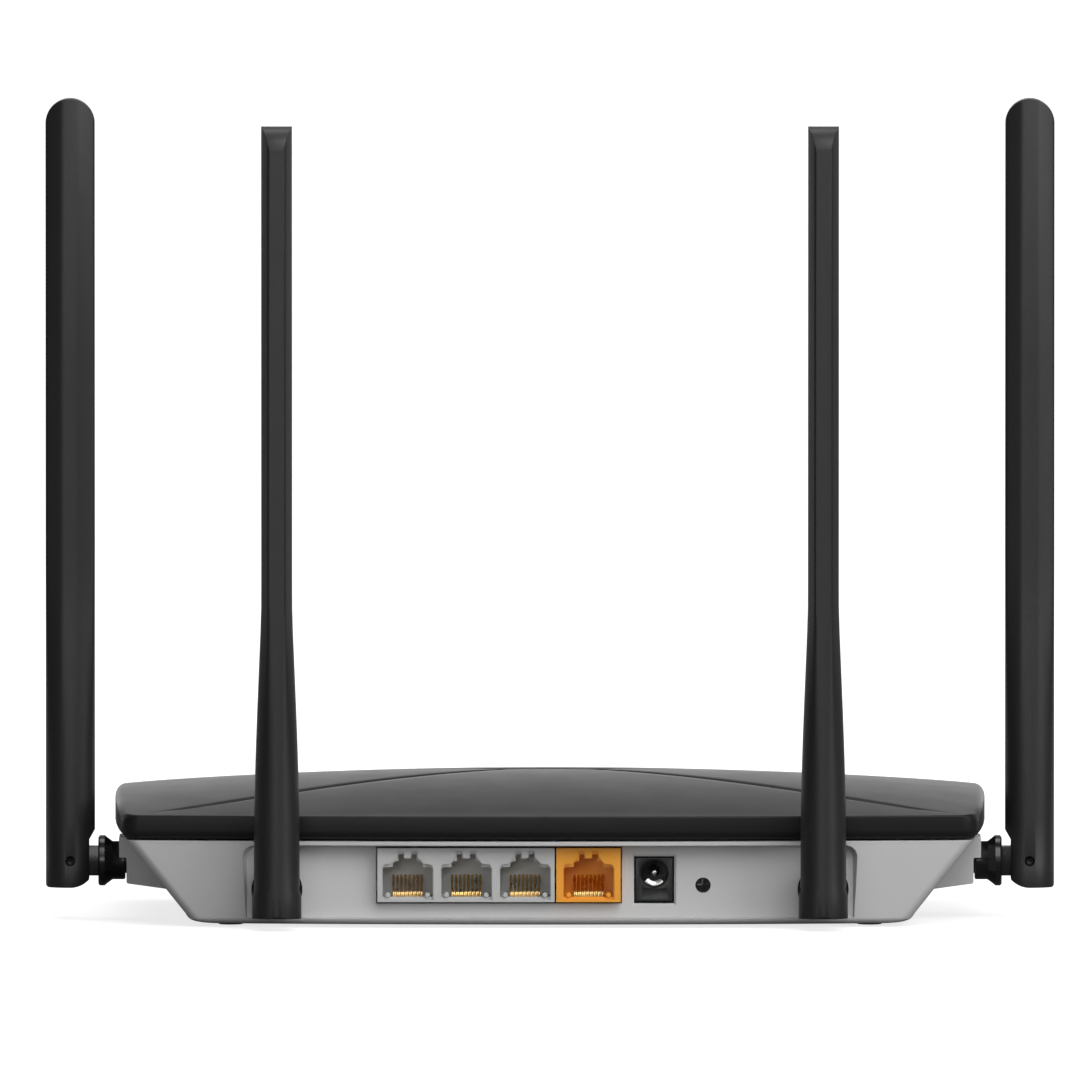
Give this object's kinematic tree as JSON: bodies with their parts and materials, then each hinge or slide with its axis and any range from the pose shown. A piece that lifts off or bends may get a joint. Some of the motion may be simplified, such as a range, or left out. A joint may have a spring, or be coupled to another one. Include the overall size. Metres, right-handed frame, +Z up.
{
  "type": "wireless router",
  "caption": "Desktop wireless router with a crowned black cover, a flared grey shell with rear network and power sockets, and antennas that swivel and fold.",
  "frame": {"origin": "middle of the bounding box's bottom face, on the surface that the feet stand on", "axes": "+X along the router's width, to the user's right as seen from the front; +Y to the rear, the way the sockets face; +Z up"},
  "size_m": [0.242, 0.142, 0.197],
  "materials": {
    "cover_plastic": "black, satin, finely textured",
    "shell_plastic": "light grey, matt, finely textured",
    "antenna_plastic": "charcoal, satin, finely textured",
    "knuckle_plastic": "black, glossy",
    "socket_grey": "grey, satin",
    "socket_orange": "orange yellow, satin",
    "jack_black": "black, satin",
    "contact_gold": "gold plated",
    "steel": "nickel plated",
    "aluminium": "plain extruded",
    "board": "green solder mask",
    "chip": "black moulded",
    "lamp": "clear, pale",
    "foot_rubber": "dark grey, matt",
    "label_paper": "blank, pale",
    "lead_sheath": "black, satin"
  },
  "bodies": {
    "case": {"top_cover": "cover_plastic", "bottom_shell": "shell_plastic", "light_guide": "lamp", "underside_label": "label_paper", "main_board": "board", "processor": "chip", "heat_sink": "aluminium", "radio_shield_left": "steel", "radio_shield_right": "steel", "lan_transformer": "chip", "wan_transformer": "chip", "capacitor_1": "aluminium", "capacitor_2": "aluminium", "inductor": "chip", "reset_switch": "chip", "lan_jack_block": "socket_grey", "wan_jack": "socket_orange", "wan_contacts": "contact_gold", "power_jack": "jack_black", "power_pin": "steel", "power_spring": "steel", "foot_rear_left": "foot_rubber", "case_screw_rear_left": "steel", "foot_rear_right": "foot_rubber", "case_screw_rear_right": "steel", "foot_front_left": "foot_rubber", "case_screw_front_left": "steel", "foot_front_right": "foot_rubber", "case_screw_front_right": "steel", "status_led_1": "lamp", "status_led_2": "lamp", "status_led_3": "lamp", "status_led_4": "lamp", "board_screw_1": "steel", "board_screw_2": "steel", "lan_contacts_1": "contact_gold", "lan_contacts_2": "contact_gold", "lan_contacts_3": "contact_gold", "rear_left_lead": "lead_sheath", "rear_right_lead": "lead_sheath", "side_left_lead": "lead_sheath", "side_right_lead": "lead_sheath"},
    "reset_button_body": {"reset_button": "knuckle_plastic"},
    "rear_left_mount": {"rear_left_antenna_knuckle": "knuckle_plastic"},
    "rear_left_blade": {"rear_left_antenna_sleeve": "antenna_plastic", "rear_left_antenna_pin": "steel", "rear_left_antenna_radiator": "contact_gold"},
    "rear_right_mount": {"rear_right_antenna_knuckle": "knuckle_plastic"},
    "rear_right_blade": {"rear_right_antenna_sleeve": "antenna_plastic", "rear_right_antenna_pin": "steel", "rear_right_antenna_radiator": "contact_gold"},
    "side_left_mount": {"side_left_antenna_knuckle": "knuckle_plastic"},
    "side_left_blade": {"side_left_antenna_sleeve": "antenna_plastic", "side_left_antenna_pin": "steel", "side_left_antenna_radiator": "contact_gold"},
    "side_right_mount": {"side_right_antenna_knuckle": "knuckle_plastic"},
    "side_right_blade": {"side_right_antenna_sleeve": "antenna_plastic", "side_right_antenna_pin": "steel", "side_right_antenna_radiator": "contact_gold"}
  },
  "joints": [
    {"name": "reset_press", "type": "slide", "parent": "case", "child": "reset_button_body", "axis": [0, -1, 0], "range_m": [0, 0.0012], "stiffness_N_per_m": 300, "springref_m": -0.0005},
    {"name": "rear_left_swivel", "type": "hinge", "parent": "case", "child": "rear_left_mount", "pos_m": [-0.0653, 0.06505, 0.0094], "axis": [0, 1, 0], "range_deg": [-90, 40]},
    {"name": "rear_left_fold", "type": "hinge", "parent": "rear_left_mount", "child": "rear_left_blade", "pos_m": [-0.0653, 0.06505, 0.0094], "axis": [-1, 0, 0], "range_deg": [0, 90]},
    {"name": "rear_right_swivel", "type": "hinge", "parent": "case", "child": "rear_right_mount", "pos_m": [0.0653, 0.06505, 0.0094], "axis": [0, 1, 0], "range_deg": [-40, 90]},
    {"name": "rear_right_fold", "type": "hinge", "parent": "rear_right_mount", "child": "rear_right_blade", "pos_m": [0.0653, 0.06505, 0.0094], "axis": [-1, 0, 0], "range_deg": [0, 90]},
    {"name": "side_left_swivel", "type": "hinge", "parent": "case", "child": "side_left_mount", "pos_m": [-0.1151, 0.01605, 0.014], "axis": [1, 0, 0], "range_deg": [-80, 90]},
    {"name": "side_left_fold", "type": "hinge", "parent": "side_left_mount", "child": "side_left_blade", "pos_m": [-0.1151, 0.01605, 0.014], "axis": [0, -1, 0], "range_deg": [0, 90]},
    {"name": "side_right_swivel", "type": "hinge", "parent": "case", "child": "side_right_mount", "pos_m": [0.1151, 0.01605, 0.014], "axis": [1, 0, 0], "range_deg": [-80, 90]},
    {"name": "side_right_fold", "type": "hinge", "parent": "side_right_mount", "child": "side_right_blade", "pos_m": [0.1151, 0.01605, 0.014], "axis": [0, 1, 0], "range_deg": [0, 90]}
  ]
}
